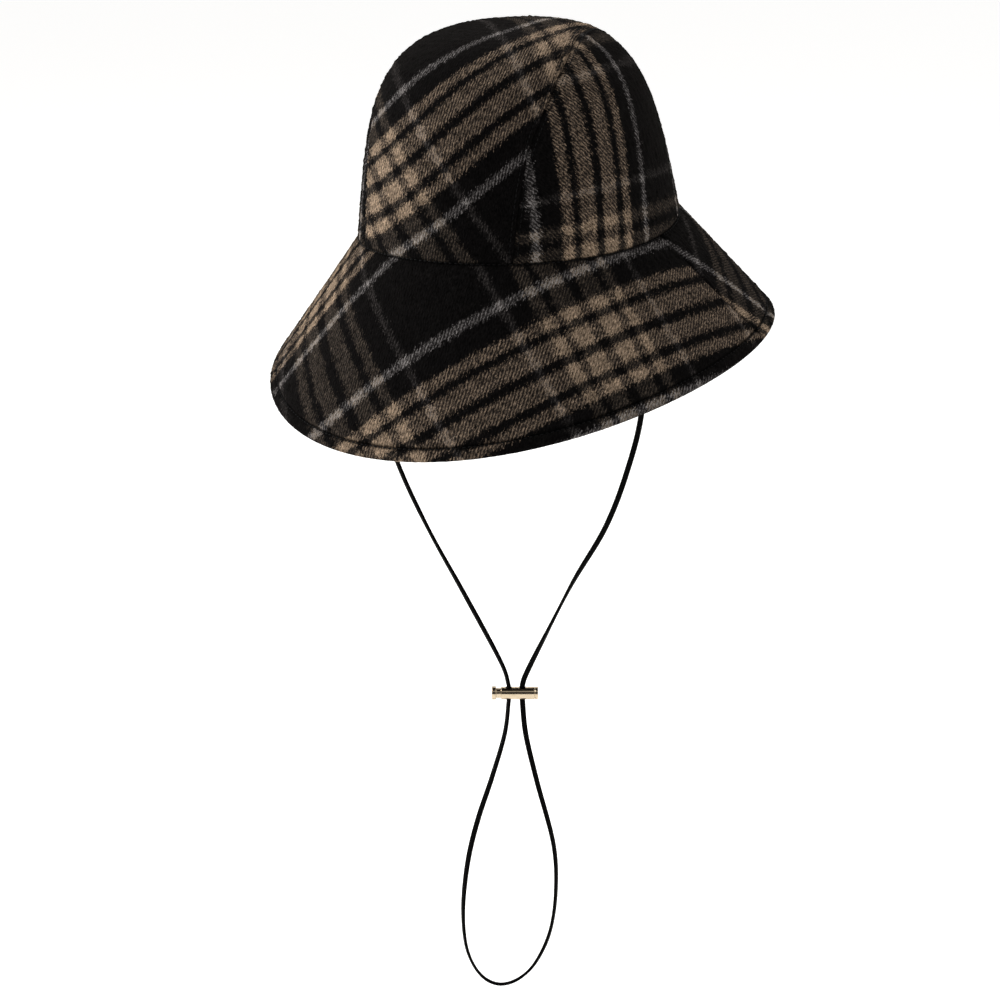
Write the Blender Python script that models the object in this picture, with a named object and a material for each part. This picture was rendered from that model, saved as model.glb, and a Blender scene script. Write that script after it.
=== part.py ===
"""Bucket hat with a chin cord.

A crown of three panels, a long brim of two panels that slopes down all round,
and one leather cord that hangs as a loop and is gathered by a push-button cord
lock.

Metres, +Z up. The origin is the middle of the head opening, the hat's front
faces -Y and the wearer's left is +X. The hat keeps the form that a head gives
it, with its front a little low, and the cord hangs down from it.
"""
from math import radians

import bmesh
import bpy
import numpy as np

# Head opening: the inside of the crown where it meets the brim
HEAD_LENGTH = 0.204
HEAD_WIDTH = 0.164
OPENING_RISE = (0.0014, -0.0025, 0.0036)    # height of its edge at the front, sides and back
FRONT_TILT = 3.5                            # degrees that the front is held low

# Crown
CROWN_HEIGHT = 0.111
CROWN_WALL = 0.0025
CROWN_TAPER = 0.18                          # share of the radius lost on the way up
TOP_ROUNDING = 4.06                         # exponents of the rounded shoulder
SIDE_ROUNDING = 3.67
CROWN_LEAN = (-0.0017, -0.0044)             # how far the top leans, along X and Y
SEAM_GAP = 0.0003                           # between neighbouring pieces of cloth
# Half width of the centre panel. Station: share of the way from the middle of
# the top, to the front edge (-1) or the back edge (1). Width: share of the
# crown's half width.
CENTRE_PANEL = (
    # station, width
    (-1.0, 0.565),
    (-0.6, 0.635),
    (-0.2, 0.580),
    (0.2, 0.435),
    (0.6, 0.310),
    (1.0, 0.260),
)

# Brim, each at the front, sides and back
BRIM_REACH = (0.0551, 0.0525, 0.0563)       # outwards from the crown
BRIM_DROP = (0.0943, 0.0662, 0.0626)        # down from the origin to the edge
BRIM_WALL = 0.003
BRIM_SEAM = (97, 105)                       # degrees round from the front, at the crown and the edge

# Cord: a flat lace, drawn as a round tube of its width
CORD_DIAMETER = 0.0032
CORD_ROUTE = (
    # x, y, z, from the wearer's right ear through the lock and back up to the left ear
    (-0.0786, 0.0000, 0.0080),
    (-0.0803, -0.0003, -0.0150),
    (-0.0845, -0.0010, -0.0500),
    (-0.0876, -0.0018, -0.0850),
    (-0.0878, -0.0025, -0.1150),
    (-0.0845, -0.0030, -0.1400),
    (-0.0765, -0.0033, -0.1590),
    (-0.0580, -0.0033, -0.1900),
    (-0.0358, -0.0033, -0.2220),
    (-0.0112, -0.0033, -0.2587),
    (-0.0056, -0.0033, -0.2720),
    (-0.0053, -0.0033, -0.2778),
    (-0.0054, -0.0033, -0.2840),
    (-0.0074, -0.0045, -0.3035),
    (-0.0140, -0.0085, -0.3310),
    (-0.0205, -0.0125, -0.3550),
    (-0.0255, -0.0155, -0.3800),
    (-0.0281, -0.0171, -0.4080),
    (-0.0273, -0.0166, -0.4310),
    (-0.0235, -0.0143, -0.4460),
    (-0.0170, -0.0104, -0.4560),
    (-0.0085, -0.0052, -0.4594),
    (0.0010, 0.0006, -0.4550),
    (0.0092, 0.0056, -0.4440),
    (0.0158, 0.0097, -0.4250),
    (0.0185, 0.0113, -0.4000),
    (0.0172, 0.0105, -0.3710),
    (0.0088, 0.0054, -0.3320),
    (0.0033, 0.0020, -0.3035),
    (0.0016, 0.0010, -0.2840),
    (0.0015, 0.0009, -0.2778),
    (0.0017, 0.0010, -0.2720),
    (0.0050, 0.0010, -0.2635),
    (0.0170, 0.0010, -0.2400),
    (0.0354, 0.0010, -0.2050),
    (0.0562, 0.0010, -0.1700),
    (0.0700, 0.0010, -0.1350),
    (0.0790, 0.0009, -0.0990),
    (0.0816, 0.0006, -0.0500),
    (0.0786, 0.0000, 0.0080),
)

# Cord lock: the two strands pass down through it, side by side
LOCK_PLACE = (-0.0019, -0.0012, -0.2778)    # half way between the strands
LOCK_TURN = 31.5                            # degrees from X to its length, seen from above
STRAND_PITCH = 0.008
BARREL_DIAMETER = 0.0075
BARREL_BORE = 0.0065
BARREL_LENGTH = 0.0215
BARREL_MOUTH = 0.0044                       # from the nearer strand to the open end
BARREL_END = 0.0012                         # thickness of the closed end
BARREL_ROUNDING = 0.0004
RUNNING_GAP = 0.0003                        # shaft in the bore, and cord in the slots
CORD_HOLE_GAP = 0.0004                      # cord in the barrel's holes
BUTTON_DIAMETER = 0.0080
BUTTON_LENGTH = 0.0025
BUTTON_ROUNDING = 0.0005
BUTTON_STANDOFF = 0.0029                    # from the barrel's mouth to the button
SHAFT_TIP = 0.0015                          # solid metal past the last slot
TRAVEL = 0.002

# Smoothness: sides and steps of the round pieces
AROUND_HAT = 64
CROWN_STEPS = 17
BRIM_STEPS = 3
EDGE_STEPS = 3
BRIM_SECTIONS = 36                          # in each of the brim's two panels
CORD_STEPS = 2                              # straight runs of the tube between two route points
PANEL_CUT_STEPS = 24
LOCK_SIDES = 24
HOLE_SIDES = 16

# Finishes: colour, metallic, roughness
WOOL = ("brushed wool", (0.045, 0.038, 0.032), 0.0, 0.95)
LEATHER = ("black leather", (0.012, 0.011, 0.011), 0.0, 0.55)
GOLD = ("pale gold plate", (0.78, 0.62, 0.36), 1.0, 0.3)


def clear_scene():
    for thing in list(bpy.data.objects):
        bpy.data.objects.remove(thing, do_unlink=True)


def material(finish):
    name, colour, metallic, roughness = finish
    mat = bpy.data.materials.new(name)
    mat.use_nodes = True
    shader = mat.node_tree.nodes["Principled BSDF"]
    shader.inputs["Base Color"].default_value = (*colour, 1.0)
    shader.inputs["Metallic"].default_value = metallic
    shader.inputs["Roughness"].default_value = roughness
    return mat


def add_object(name, mesh, parent=None, finish=None):
    """Link a mesh as a named object, with its own material if it has a finish."""
    thing = bpy.data.objects.new(name, mesh)
    bpy.context.collection.objects.link(thing)
    thing.parent = parent
    if finish:
        mesh.materials.append(material(finish))
    return thing


def add_empty(name, parent=None):
    empty = bpy.data.objects.new(name, None)
    bpy.context.collection.objects.link(empty)
    empty.parent = parent
    return empty


def loft(name, rings, strips=False, sharp=40):
    """Join rings of points, each (count, 3), into one closed mesh.

    The two end rings are filled, with one face each or with strips from side
    to side, which suits an end that isn't flat.
    """
    bm = bmesh.new()
    rows = [[bm.verts.new(p) for p in ring] for ring in rings]
    count = len(rows[0])
    for low, high in zip(rows, rows[1:]):
        for i in range(count):
            j = (i + 1) % count
            bm.faces.new((low[i], low[j], high[j], high[i]))
    for row in (rows[0], rows[-1]):
        if strips:
            for i in range(count // 2 - 1):
                bm.faces.new((row[i], row[i + 1], row[-2 - i], row[-1 - i]))
        else:
            bm.faces.new(row)
    bmesh.ops.recalc_face_normals(bm, faces=bm.faces)
    mesh = bpy.data.meshes.new(name)
    bm.to_mesh(mesh)
    bm.free()
    mesh.shade_smooth()
    mesh.set_sharp_from_angle(angle=radians(sharp))
    return mesh


def cut(thing, cutter, operation):
    """Cut an object with a hidden guide."""
    cutter.hide_render = True
    cutter.display_type = "WIRE"
    boolean = thing.modifiers.new(cutter.name, "BOOLEAN")
    boolean.object = cutter
    boolean.operation = operation
    boolean.solver = "EXACT"


def smooth_curve(points, steps):
    """A Catmull-Rom curve through the points, with steps points to each span."""
    points = np.asarray(points, float)
    ends = np.vstack([2 * points[0] - points[1], points, 2 * points[-1] - points[-2]])
    t = np.linspace(0, 1, steps, endpoint=False)[:, None]
    spans = []
    for a, b, c, d in zip(ends, ends[1:], ends[2:], ends[3:]):
        spans.append(0.5 * (2 * b + (c - a) * t + (2 * a - 5 * b + 4 * c - d) * t ** 2
                            + (3 * b - a - 3 * c + d) * t ** 3))
    return np.vstack(spans + [points[-1:]])


def even_points(curve, count):
    """The curve again, as count points evenly spaced along it."""
    steps = np.linalg.norm(np.diff(curve, axis=0), axis=1)
    along = np.concatenate([[0.0], np.cumsum(steps)])
    wanted = np.linspace(0, along[-1], count)
    return np.stack([np.interp(wanted, along, axis) for axis in curve.T], axis=1)


def around_hat(values, angle):
    """Blend a value's front, side and back sizes around the hat; angle 0 is the front."""
    front, side, back = values
    mean = (front + 2 * side + back) / 4
    return mean + (front - back) / 2 * np.cos(angle) + (front - 2 * side + back) / 4 * np.cos(2 * angle)


def oval(angle, half_width, half_length, height):
    """Points around the hat, from the front towards the wearer's left."""
    x = half_width * np.sin(angle)
    y = -half_length * np.cos(angle)
    return np.stack([x, y, height + 0 * angle], axis=1)


def crown_profile():
    """Radius share and height share of the crown's rings, evenly spaced up its side and top."""
    swing = np.linspace(0, np.pi / 2, 400)
    height = np.sin(swing) ** (2 / TOP_ROUNDING)
    radius = (1 - CROWN_TAPER * height) * np.cos(swing) ** (2 / SIDE_ROUNDING)
    scale = np.array([HEAD_WIDTH / 2, CROWN_HEIGHT])
    profile = even_points(np.stack([radius, height], axis=1) * scale, CROWN_STEPS + 1) / scale
    return profile[:-1]


def crown_skin(inset):
    """Rings of the crown, bottom to top, for a surface this far inside its outer one."""
    half_width = HEAD_WIDTH / 2 + CROWN_WALL - inset
    half_length = HEAD_LENGTH / 2 + CROWN_WALL - inset
    angle = np.linspace(0, 2 * np.pi, AROUND_HAT, endpoint=False)
    edge = around_hat(OPENING_RISE, angle)
    rings = []
    for radius, share in crown_profile():
        height = share * (CROWN_HEIGHT - inset) + edge * (1 - share) ** 2
        ring = oval(angle, half_width * radius, half_length * radius, height)
        ring[:, :2] += np.outer(height, CROWN_LEAN) / CROWN_HEIGHT
        rings.append(ring)
    return rings


def crown_shell(name, parent):
    """The whole crown as one wall, from the middle of its inside to the middle of its top."""
    inside = crown_skin(CROWN_WALL)
    outside = crown_skin(0)
    return add_object(name, loft(name, inside[::-1] + outside), parent, WOOL)


def panel_edge(offset):
    """The seam on the wearer's left, seen from above, moved sideways by an offset."""
    stations = smooth_curve(CENTRE_PANEL, 6)
    half_width = HEAD_WIDTH / 2 + CROWN_WALL
    half_length = HEAD_LENGTH / 2 + CROWN_WALL
    share = np.linspace(-1, 1, PANEL_CUT_STEPS + 1)
    width = np.interp(share, stations[:, 0], stations[:, 1])
    x = width * half_width + offset
    y = share * half_length * np.sqrt(1 - width ** 2)
    y[0] -= half_length
    y[-1] += half_length
    return np.stack([x, y], axis=1)


def leaning_prism(name, outline, parent):
    """A cutter with this outline seen from above, which leans as the crown does."""
    rings = []
    for height in (-CROWN_HEIGHT, 2 * CROWN_HEIGHT):
        lean = np.array(CROWN_LEAN) * height / CROWN_HEIGHT
        rings.append(np.column_stack([outline + lean, np.full(len(outline), height)]))
    return add_object(name, loft(name, rings), parent)


def crown_panels(parent):
    """The centre strip and the two D-shaped sides, cut from one shell along the seams."""
    mirror = np.array([-1, 1])
    strip = panel_edge(-SEAM_GAP / 2)
    outline = np.vstack([strip, (strip * mirror)[::-1]])
    centre = crown_shell("crown_centre_panel", parent)
    cut(centre, leaning_prism("centre_guide", outline, parent), "INTERSECT")

    seam = panel_edge(SEAM_GAP / 2)
    far = np.array([[2 * HEAD_WIDTH, seam[-1, 1]], [2 * HEAD_WIDTH, seam[0, 1]]])
    side_outline = np.vstack([seam, far])
    for side, flip in (("left", 1), ("right", -1)):
        panel = crown_shell(f"crown_{side}_panel", parent)
        guide = leaning_prism(f"{side}_guide", side_outline * (flip, 1), parent)
        cut(panel, guide, "INTERSECT")


def brim_edge(angle):
    reach = CROWN_WALL + around_hat(BRIM_REACH, angle)
    drop = around_hat(BRIM_DROP, angle)
    return oval(angle, HEAD_WIDTH / 2 + reach, HEAD_LENGTH / 2 + reach, -drop)


def brim_row(angle, share, turn):
    """Points of the brim at some angles.

    The share goes from the crown, 0, to the edge, 1. The turn goes round the
    rolled edge, from the outer face, 0, to the inner face, pi.
    """
    height = around_hat(OPENING_RISE, angle) - SEAM_GAP
    top = oval(angle, HEAD_WIDTH / 2 + CROWN_WALL, HEAD_LENGTH / 2 + CROWN_WALL, height)
    inside = oval(angle, HEAD_WIDTH / 2, HEAD_LENGTH / 2, height)
    edge = brim_edge(angle)
    down = edge - top
    down /= np.linalg.norm(down, axis=1)[:, None]
    nearby = radians(1)
    out = np.cross(down, brim_edge(angle + nearby) - brim_edge(angle - nearby))
    out *= np.sign(out[:, 2:]) / np.linalg.norm(out, axis=1)[:, None]

    radius = BRIM_WALL / 2
    core = edge - (down + out) * radius
    end = core + radius * (out * np.cos(turn) + down * np.sin(turn))
    start = (top + inside + (top - inside) * np.cos(turn)) / 2
    return start + (end - start) * share


def brim_panels(parent):
    """The front and back panels: straight-sided skirts with a rounded edge, joined at the sides."""
    shares = np.linspace(0, 1, BRIM_STEPS + 1)[:-1]
    levels = [(share, 0) for share in shares]
    levels += [(1, turn) for turn in np.linspace(0, np.pi, EDGE_STEPS + 1)]
    levels += [(share, np.pi) for share in shares[::-1]]
    gap = SEAM_GAP / HEAD_WIDTH
    at_crown, at_edge = np.radians(BRIM_SEAM)
    stations = np.linspace(-1, 1, BRIM_SECTIONS)
    for name, middle in (("brim_front_panel", 0), ("brim_back_panel", np.pi)):
        rows = []
        for share, turn in levels:
            seam = at_crown + (at_edge - at_crown) * share
            half = abs(middle - seam) - gap
            rows.append(brim_row(middle + stations * half, share, turn))
        add_object(name, loft(name, np.stack(rows, axis=1), strips=True), parent, WOOL)


def chin_cord():
    """The cord's tube along its whole route."""
    points = smooth_curve(CORD_ROUTE, CORD_STEPS)
    curve = bpy.data.curves.new("chin_cord", "CURVE")
    curve.dimensions = "3D"
    curve.bevel_depth = CORD_DIAMETER / 2
    curve.bevel_resolution = 2
    curve.use_fill_caps = True
    spline = curve.splines.new("POLY")
    spline.points.add(len(points) - 1)
    spline.points.foreach_set("co", np.column_stack([points, np.ones(len(points))]).ravel())
    add_object("chin_cord", curve, finish=LEATHER)


def turned(name, sections):
    """A body turned about X, from rows of place and radius."""
    angle = np.linspace(0, 2 * np.pi, LOCK_SIDES, endpoint=False)
    rings = []
    for place, radius in sections:
        y = radius * np.cos(angle)
        z = radius * np.sin(angle)
        rings.append(np.stack([place + 0 * angle, y, z], axis=1))
    return loft(name, rings)


def slot_cutter(name, start, end, width, parent):
    """An upright cutter with round ends, between two places along X."""
    radius = width / 2
    turn = np.linspace(-np.pi / 2, np.pi / 2, HOLE_SIDES // 2 + 1)
    right = np.stack([end - radius + radius * np.cos(turn), radius * np.sin(turn)], axis=1)
    left = np.stack([start + radius - radius * np.cos(turn), -radius * np.sin(turn)], axis=1)
    if end - start - width < RUNNING_GAP:
        left = left[1:-1]
    outline = np.vstack([right, left])
    rings = []
    for height in (-BUTTON_DIAMETER, BUTTON_DIAMETER):
        rings.append(np.column_stack([outline, np.full(len(outline), height)]))
    return add_object(name, loft(name, rings), parent)


def cord_lock():
    """The barrel and its plunger. Both are placed on the line that the plunger slides along."""
    place = add_empty("lock_place")
    place.location = LOCK_PLACE
    place.rotation_euler = (0, 0, radians(LOCK_TURN))
    strands = (-STRAND_PITCH / 2, STRAND_PITCH / 2)
    mouth = strands[0] - BARREL_MOUTH
    end = mouth + BARREL_LENGTH
    outer = BARREL_DIAMETER / 2
    bore = BARREL_BORE / 2
    round_off = BARREL_ROUNDING
    barrel = add_object("cord_lock_barrel", turned("cord_lock_barrel", (
        (end - BARREL_END, bore),
        (mouth, bore),
        (mouth, outer - round_off / 2),
        (mouth + round_off / 2, outer),
        (end - round_off, outer),
        (end, outer - round_off),
    )), place, GOLD)
    hole = CORD_DIAMETER + 2 * CORD_HOLE_GAP
    for number, strand in enumerate(strands, 1):
        cutter = slot_cutter(f"hole_guide_{number}", strand - hole / 2, strand + hole / 2, hole, place)
        cut(barrel, cutter, "DIFFERENCE")

    shaft = bore - RUNNING_GAP
    button = BUTTON_DIAMETER / 2
    inner_face = mouth - BUTTON_STANDOFF
    outer_face = inner_face - BUTTON_LENGTH
    room = CORD_DIAMETER / 2 + RUNNING_GAP
    tip = strands[-1] + room + SHAFT_TIP
    round_off = BUTTON_ROUNDING
    plunger = add_object("cord_lock_plunger", turned("cord_lock_plunger", (
        (outer_face, button - round_off),
        (outer_face + round_off, button),
        (inner_face - round_off / 2, button),
        (inner_face, button - round_off / 2),
        (inner_face, shaft),
        (tip, shaft),
    )), place, GOLD)
    for number, strand in enumerate(strands, 1):
        cutter = slot_cutter(f"slot_guide_{number}", strand - room - TRAVEL, strand + room,
                             2 * room, place)
        cut(plunger, cutter, "DIFFERENCE")


def main():
    clear_scene()
    hat = add_empty("hat_tilt")
    hat.rotation_euler = (radians(FRONT_TILT), 0, 0)
    crown_panels(hat)
    brim_panels(hat)
    chin_cord()
    cord_lock()


main()
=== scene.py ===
# %% [markdown]
# # A plaid bucket hat with a chin cord
#
# The hat is sewn from five panels of brushed wool twill: a centre strip and two D-shaped sides for
# the crown, a front and a back for the brim. A leather lace hangs from inside the crown as one long
# loop, and a small gold push-button lock gathers it. The shapes come first, then the cloth's plaid
# is laid on flat patterns of the panels, as a cutter lays it, so that the stripes bend and meet at
# the seams as they do on the real hat.

# %% The frame that everything is built on
from math import cos, pi, radians, sin, tau

import bmesh
import bpy
import numpy as np
from mathutils import Matrix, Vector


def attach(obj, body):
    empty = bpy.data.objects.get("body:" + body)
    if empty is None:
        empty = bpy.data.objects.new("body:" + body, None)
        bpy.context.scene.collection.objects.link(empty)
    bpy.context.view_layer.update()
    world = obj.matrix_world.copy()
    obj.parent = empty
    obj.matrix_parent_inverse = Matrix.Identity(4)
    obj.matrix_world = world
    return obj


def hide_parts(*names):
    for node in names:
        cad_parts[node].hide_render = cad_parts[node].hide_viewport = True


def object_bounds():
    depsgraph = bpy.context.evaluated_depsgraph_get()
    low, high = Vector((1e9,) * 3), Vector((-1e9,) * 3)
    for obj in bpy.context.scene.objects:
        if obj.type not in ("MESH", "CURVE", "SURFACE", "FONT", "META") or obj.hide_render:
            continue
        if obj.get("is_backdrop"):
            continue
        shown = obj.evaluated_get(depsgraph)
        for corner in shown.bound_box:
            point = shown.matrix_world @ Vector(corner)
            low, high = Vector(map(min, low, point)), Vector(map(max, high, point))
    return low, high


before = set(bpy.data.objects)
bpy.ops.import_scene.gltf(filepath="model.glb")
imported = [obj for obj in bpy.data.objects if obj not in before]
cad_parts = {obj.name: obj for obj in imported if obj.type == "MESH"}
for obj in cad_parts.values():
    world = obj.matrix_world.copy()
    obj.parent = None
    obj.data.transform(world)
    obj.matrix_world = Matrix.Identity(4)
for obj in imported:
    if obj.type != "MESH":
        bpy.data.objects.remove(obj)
solid_box = [list(corner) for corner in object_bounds()]
mm = 0.001

# %% [markdown]
# ## The camera
#
# The photograph looks at the hat's front left from a little above, with a long lens. An orbit
# position (two angles and a distance) says where the camera stands. Its own axes are worked out
# from two slightly different angles, because it aims below the middle of the hat to take in the
# whole loop.

# %% Camera
CAMERA_DISTANCE = 2.0
CAMERA_PLACE = (31.15, 10.433)      # degrees round from the front, and above the horizon
CAMERA_AIM = (31.478, 14.917)
LENS = 128.0                        # millimetres
SENSOR_WIDTH = 36.0                 # millimetres
FAR_CLIP = 20.0                     # metres


def away(azimuth, elevation):
    """Unit vector from the hat towards a place at these angles, in degrees."""
    a, e = radians(azimuth), radians(elevation)
    return np.array([sin(a) * cos(e), -cos(a) * cos(e), sin(e)])


def unit(vectors):
    """Vectors divided by their lengths, along the last axis."""
    length = np.linalg.norm(vectors, axis=-1, keepdims=True)
    return vectors / np.maximum(length, 1e-12)


def put_in_scene(name, data):
    """A new object that shows this data, linked to the scene."""
    thing = bpy.data.objects.new(name, data)
    bpy.context.collection.objects.link(thing)
    return thing


def stand(thing, place, side, up, back):
    """Put an object at a place, with its own X, Y and Z axes along these directions."""
    axes = Matrix(np.stack([side, up, back], axis=1).tolist())
    thing.matrix_world = Matrix.Translation(place) @ axes.to_4x4()


backward = away(*CAMERA_AIM)
rightward = unit(np.cross([0, 0, 1], backward))
upward = np.cross(backward, rightward)
camera = put_in_scene("camera", bpy.data.cameras.new("camera"))
stand(camera, away(*CAMERA_PLACE) * CAMERA_DISTANCE, rightward, upward, backward)
camera.data.lens = LENS
camera.data.sensor_width = SENSOR_WIDTH
camera.data.clip_end = FAR_CLIP
bpy.context.scene.camera = camera
print("camera at", np.round(camera.location, 3))

# %% [markdown]
# ## Light and floor
#
# Dark cloth needs one strong side, or it goes flat. A large key lamp stands at the left of the
# picture, smaller ones behind and to the right pick out the edges, and a pale world fills the
# shadows. The hat is shown held up, so the floor lies below the loop. The floor is a light table,
# so that it stays as white as the photograph's ground without more light on the hat. The room is
# dark behind the camera, which gives the polished lock a dark band to mirror.

# %% Floor and lamps
FLOOR_DROP = 0.06                   # below the lowest point of the cord
LAMPS = (
    # azimuth, elevation, distance, size, watts
    (-62, 30, 1.9, 1.2, 46),
    (40, 78, 1.9, 1.2, 7),
    (115, 35, 1.9, 1.2, 7),
    (200, 55, 2.0, 1.2, 10),
)
WORLD_LIGHT = 0.6
DARK_LIGHT = 0.03                   # of the dark part of the room
DARK_FROM = 0.72                    # cosine of the angle from the camera's side where the room turns dark
DARK_EDGE = 0.15                    # how much further the cosine goes before it is quite dark
FLOOR_GLOW = 0.45
FLOOR_REACH = 6.0                   # metres each way

scene = bpy.context.scene
scene.view_settings.view_transform = "Standard"
scene.world = bpy.data.worlds.new("pale studio, dark behind the camera")
scene.world.use_nodes = True
for number, (azimuth, elevation, distance, size, watts) in enumerate(LAMPS, 1):
    light = bpy.data.lights.new(f"lamp_{number}", "AREA")
    light.size = size
    light.energy = watts
    lamp = put_in_scene(f"lamp_{number}", light)
    toward = away(azimuth, elevation)
    side = unit(np.cross([0, 0, 1], toward))
    stand(lamp, toward * distance, side, np.cross(toward, side), toward)

floor_height = solid_box[0][2] - FLOOR_DROP
floor_mesh = bpy.data.meshes.new("floor")
corners = [(x * FLOOR_REACH, y * FLOOR_REACH, floor_height) for x, y in ((-1, -1), (1, -1), (1, 1), (-1, 1))]
floor_mesh.from_pydata(corners, [], [(0, 1, 2, 3)])
floor = put_in_scene("floor", floor_mesh)
floor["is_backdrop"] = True
print("floor at", round(floor_height, 3))

# %% [markdown]
# ## Tools for materials and meshes
#
# Every finish below is a small network of shader nodes. One function adds a node, sets what it is
# told and links what it is given. A node that is given stands for its first output. Colours are
# written as web hex values, which are what a colour picker shows, and turned into the linear light
# that the renderer adds up.

# %% Node and colour helpers


def linear(hex_colour):
    """A web colour as linear RGBA: each channel is (c + 0.055) / 1.055 to the power 2.4."""
    channels = [int(hex_colour[i:i + 2], 16) / 255 for i in (1, 3, 5)]
    return (*[c / 12.92 if c < 0.04045 else ((c + 0.055) / 1.055) ** 2.4 for c in channels], 1)


def connect(tree, node, **inputs):
    """Set or link a node's inputs: values, nodes or their outputs. A_B names socket "A B", i0 socket 0."""
    for name, value in inputs.items():
        numbered = name[0] == "i" and name[1:].isdigit()
        socket = node.inputs[int(name[1:]) if numbered else name.replace("_", " ")]
        if isinstance(value, bpy.types.Node):
            value = value.outputs[0]
        if isinstance(value, bpy.types.NodeSocket):
            tree.links.new(value, socket)
        else:
            socket.default_value = value


def add(tree, kind, settings=None, **inputs):
    """Add a node of a kind with its settings, and connect its inputs."""
    node = tree.nodes.new("ShaderNode" + kind)
    for name, value in (settings or {}).items():
        setattr(node, name, value)
    connect(tree, node, **inputs)
    return node


def calculate(tree, operation, *values, kind="Math"):
    """A node that does one sum with its inputs, in their order."""
    return add(tree, kind, {"operation": operation}, **{f"i{k}": value for k, value in enumerate(values)})


def spread(tree, value, low, high, new_low, new_high):
    """A node that carries the range from low to high over to a new range, and goes no further."""
    return add(tree, "MapRange", Value=value, From_Min=low, From_Max=high, To_Min=new_low, To_Max=new_high)


def new_material(name):
    """An empty node material with a Principled shader, and that shader."""
    made = bpy.data.materials.new(name)
    made.use_nodes = True
    return made, made.node_tree, made.node_tree.nodes["Principled BSDF"]


tree = scene.world.node_tree
gaze = add(tree, "TexCoord").outputs["Generated"]
facing = calculate(tree, "DOT_PRODUCT", gaze, tuple(away(CAMERA_PLACE[0], 0)), kind="VectorMath")
glow = spread(tree, facing.outputs["Value"], DARK_FROM, DARK_FROM + DARK_EDGE, WORLD_LIGHT, DARK_LIGHT)
connect(tree, tree.nodes["Background"], Color=(1, 1, 1, 1), Strength=glow)

floor_paper, tree, shader = new_material("matt white paper")
connect(tree, shader, Base_Color=linear("#F4F3F1"), Roughness=0.9,
        Emission_Color=linear("#FFFFFF"), Emission_Strength=FLOOR_GLOW)
floor_mesh.materials.append(floor_paper)

# %% Mesh helpers


def quads(grid, wrap=False):
    """The faces between neighbouring points of a grid of indices; wrap joins the last row to the first."""
    if wrap:
        grid = np.vstack([grid, grid[:1]])
    return np.stack([grid[:-1, :-1], grid[1:, :-1], grid[1:, 1:], grid[:-1, 1:]], axis=-1).reshape(-1, 4)


def make_piece(name, points, faces, finish, flat=None, crease_shade=None, body="hat", sharp=40):
    """A mesh object from arrays, closed and facing outward. Cloth has a flat pattern and painted crease shade
    too.
    """
    mesh = bpy.data.meshes.new(name)
    mesh.from_pydata(points.reshape(-1, 3), [], faces.tolist())
    if flat is not None:
        corner = np.empty(len(mesh.loops), np.int32)
        mesh.loops.foreach_get("vertex_index", corner)
        layer = mesh.uv_layers.new(name="pattern")
        layer.data.foreach_set("uv", flat.reshape(-1, 2)[corner].ravel())
        # The attribute made here is painted shade: how far the cloth's colour is darkened in its creases.
        mesh.attributes.new("crease_shade", "FLOAT", "POINT").data.foreach_set("value", crease_shade.ravel())
    bm = bmesh.new()
    bm.from_mesh(mesh)
    bmesh.ops.remove_doubles(bm, verts=bm.verts, dist=1e-6)
    bmesh.ops.dissolve_degenerate(bm, edges=bm.edges, dist=1e-7)
    bmesh.ops.holes_fill(bm, edges=bm.edges, sides=8)
    bmesh.ops.recalc_face_normals(bm, faces=bm.faces)
    bm.to_mesh(mesh)
    bm.free()
    mesh.shade_smooth()
    mesh.set_sharp_from_angle(angle=radians(sharp))
    mesh.materials.append(finish)
    thing = put_in_scene(name, mesh)
    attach(thing, body)
    print(f"{name}: {len(mesh.vertices)} points, {len(mesh.polygons)} faces")
    return thing


def along(points, axis):
    """Distance walked along one axis of a grid of points, from its first row or column."""
    steps = np.linalg.norm(np.diff(points, axis=axis), axis=-1)
    walked = np.cumsum(steps, axis=axis)
    return np.insert(walked, 0, 0, axis=axis)


def looked_up(at, places, table):
    """A table read between its rows: it has one row for each of the places, and is read at others."""
    return np.stack([np.interp(at, places, column) for column in table.T], -1)


# %% [markdown]
# ## Leather for the cord
#
# The lace is bovine leather, dyed black and rolled, so it has a soft low shine with a fine grain.
# The grain is a Voronoi pattern about a third of a millimetre across, turned into a slight bump.
# Roughness varies a little where fingers have polished it.

# %% Black leather
GRAIN = 0.35 * mm

leather, tree, shader = new_material("black dyed leather")
place = add(tree, "TexCoord").outputs["Object"]
cells = add(tree, "TexVoronoi", Vector=place, Scale=1 / GRAIN)
rub = add(tree, "TexNoise", Vector=place, Scale=1 / (6 * mm), Detail=3.0)
shine = spread(tree, rub, 0.3, 0.7, 0.42, 0.6)
tint = add(tree, "MixRGB", Fac=rub, Color1=linear("#020202"), Color2=linear("#060505"))
relief = add(tree, "Bump", Height=cells, Distance=0.06 * mm, Strength=0.5)
connect(tree, shader, Base_Color=tint, Roughness=shine, Normal=relief, IOR=1.5, Specular_IOR_Level=0.02)
print("leather grain", GRAIN / mm, "mm")

# %% [markdown]
# ## The chin cord
#
# One lace runs from the wearer's right ear down through the lock, round the loop and back up to
# the left ear. It is 3.2 mm wide and 1.8 mm thick and turns about itself as it hangs, so the
# photograph shows it now broad, now narrow. A curve with a round bevel can't show that. Here a
# rounded flat profile is carried along a smooth curve through the route, and a short table says how
# far it has turned from facing the camera.

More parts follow.
